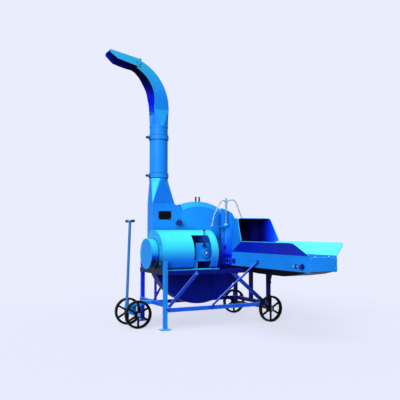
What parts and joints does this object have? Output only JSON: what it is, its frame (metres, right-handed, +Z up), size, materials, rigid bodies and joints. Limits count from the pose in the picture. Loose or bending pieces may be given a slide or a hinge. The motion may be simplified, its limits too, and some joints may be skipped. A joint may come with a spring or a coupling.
{
  "type": "forage chopper",
  "caption": "Trailed forage chopper: knife-disc casing with a tall swivelling spout, slatted feed table with a sprung feed roller, barrel-guarded motor, steered wheels and drawbar.",
  "frame": {"origin": "on the floor, under the middle of the whole machine", "axes": "+Z up, -X the towing direction, -Y towards the loading end of the feed table"},
  "size_m": [1.9609, 2.079, 3.0781],
  "materials": {
    "blue_paint": "semi-gloss",
    "black_cast_iron": "painted, satin",
    "dark_steel": "bare, oiled",
    "bright_steel": "machined",
    "galvanised_steel": "zinc",
    "black_rubber": "matte",
    "black_paint": "satin",
    "dark_blue_plastic": "moulded",
    "grey_cast": "as cast",
    "cyan_paint": "gloss"
  },
  "bodies": {
    "base": {"frame_legs": "blue_paint", "frame_rails": "blue_paint", "right_posts": "blue_paint", "frame_braces": "blue_paint", "casing_arms": "blue_paint", "rear_axle": "dark_steel", "steer_bracket": "blue_paint", "kingpin": "dark_steel", "lower_casing": "blue_paint", "chute_base": "blue_paint", "chute_transition": "blue_paint", "lower_pipe": "blue_paint", "lower_clamp": "blue_paint", "swivel_clamp": "blue_paint", "cover_hinge_pin": "dark_steel", "blank_plate": "black_paint", "rear_bearing": "blue_paint", "guard_tray": "blue_paint", "motor_guard": "blue_paint", "fan_cowl": "blue_paint", "motor_body": "grey_cast", "gearbox": "blue_paint", "near_cheek": "blue_paint", "far_cheek": "blue_paint", "throat_plate": "bright_steel", "hood": "blue_paint", "roller_bearings": "blue_paint", "spring": "bright_steel", "bail": "galvanised_steel", "trough": "blue_paint", "near_flare": "blue_paint", "far_flare": "blue_paint", "apron": "dark_steel", "return_pan": "black_paint", "tension_screws": "bright_steel"},
    "rotor": {"main_shaft": "bright_steel", "knife_disc": "blue_paint", "knives": "bright_steel", "paddles": "blue_paint"},
    "motor_rotor": {"motor_shaft": "bright_steel"},
    "cover": {"upper_cover": "blue_paint"},
    "knob": {"star_knob": "dark_blue_plastic"},
    "spout": {"spout": "blue_paint", "flap_pin": "dark_steel"},
    "flap": {"spout_flap": "blue_paint"},
    "low_roller": {"lower_roller": "dark_steel"},
    "float": {"float_blocks": "blue_paint", "pressure_rod": "cyan_paint"},
    "up_roller": {"upper_roller": "dark_steel"},
    "head": {"head_shaft": "dark_steel"},
    "tail": {"tail_shaft": "dark_steel"},
    "lever": {"shift_lever": "dark_blue_plastic"},
    "steering": {"steering_bogie": "blue_paint", "drawbar_pin": "dark_steel"},
    "front_near": {"wheel_front_near": "black_cast_iron"},
    "front_far": {"wheel_front_far": "black_cast_iron"},
    "rear_near": {"wheel_rear_near": "black_cast_iron"},
    "rear_far": {"wheel_rear_far": "black_cast_iron"},
    "drawbar": {"drawbar": "blue_paint", "drawbar_grips": "black_rubber"}
  },
  "joints": [
    {"name": "rotor_spin", "type": "hinge", "parent": "base", "child": "rotor", "pos_m": [0.125, 0.745, 0.8], "axis": [0, 1, 0], "continuous": true},
    {"name": "motor_spin", "type": "hinge", "parent": "base", "child": "motor_rotor", "pos_m": [-0.3, 0.512, 0.8], "axis": [1, 0, 0], "continuous": true},
    {"name": "cover_hinge", "type": "hinge", "parent": "base", "child": "cover", "pos_m": [0.768, 0.745, 0.8], "axis": [0, 1, 0], "range_deg": [0, 100]},
    {"name": "knob_turn", "type": "hinge", "parent": "base", "child": "knob", "pos_m": [-0.146, 0.65, 1.15], "axis": [0, -1, 0], "continuous": true},
    {"name": "spout_swivel", "type": "hinge", "parent": "base", "child": "spout", "pos_m": [-0.371, 0.745, 2.136], "axis": [0, 0, 1], "range_deg": [-170, 170]},
    {"name": "flap_tilt", "type": "hinge", "parent": "spout", "child": "flap", "pos_m": [-0.63543, 0.745, 3.01264], "axis": [0, 1, 0], "range_deg": [-35, 10]},
    {"name": "low_roller_spin", "type": "hinge", "parent": "base", "child": "low_roller", "pos_m": [0.561, 0.47, 0.7], "axis": [1, 0, 0], "continuous": true},
    {"name": "float_slide", "type": "slide", "parent": "base", "child": "float", "axis": [0, 0, 1], "range_m": [0, 0.06], "stiffness_N_per_m": 3000, "springref_m": -0.03, "deforming": ["spring"]},
    {"name": "up_roller_spin", "type": "hinge", "parent": "float", "child": "up_roller", "pos_m": [0.561, 0.47, 0.859], "axis": [1, 0, 0], "continuous": true},
    {"name": "head_spin", "type": "hinge", "parent": "base", "child": "head", "pos_m": [0.5875, 0.35, 0.704], "axis": [1, 0, 0], "continuous": true},
    {"name": "tail_spin", "type": "hinge", "parent": "base", "child": "tail", "pos_m": [0.5875, -0.925, 0.704], "axis": [1, 0, 0], "continuous": true},
    {"name": "lever_shift", "type": "hinge", "parent": "base", "child": "lever", "pos_m": [0.008, 0.326, 0.892], "axis": [0, 1, 0], "range_deg": [-12, 12]},
    {"name": "steer", "type": "hinge", "parent": "base", "child": "steering", "pos_m": [-0.73, 0.611, 0.235], "axis": [0, 0, 1], "range_deg": [-35, 35]},
    {"name": "front_near_spin", "type": "hinge", "parent": "steering", "child": "front_near", "pos_m": [-0.73, 0.453, 0.15], "axis": [0, 1, 0], "continuous": true},
    {"name": "front_far_spin", "type": "hinge", "parent": "steering", "child": "front_far", "pos_m": [-0.73, 0.769, 0.15], "axis": [0, 1, 0], "continuous": true},
    {"name": "rear_near_spin", "type": "hinge", "parent": "base", "child": "rear_near", "pos_m": [0.81, 0.1905, 0.15], "axis": [0, 1, 0], "continuous": true},
    {"name": "rear_far_spin", "type": "hinge", "parent": "base", "child": "rear_far", "pos_m": [0.81, 1.0195, 0.15], "axis": [0, 1, 0], "continuous": true},
    {"name": "drawbar_lower", "type": "hinge", "parent": "steering", "child": "drawbar", "pos_m": [-0.804, 0.611, 0.212], "axis": [0, -1, 0], "range_deg": [0, 80]}
  ],
  "couplings": [
    {"joint": "motor_spin", "follows": "rotor_spin", "ratio": 2},
    {"joint": "low_roller_spin", "follows": "up_roller_spin", "ratio": -1.5833},
    {"joint": "head_spin", "follows": "up_roller_spin", "ratio": -2.1591},
    {"joint": "tail_spin", "follows": "up_roller_spin", "ratio": -2.1591}
  ]
}
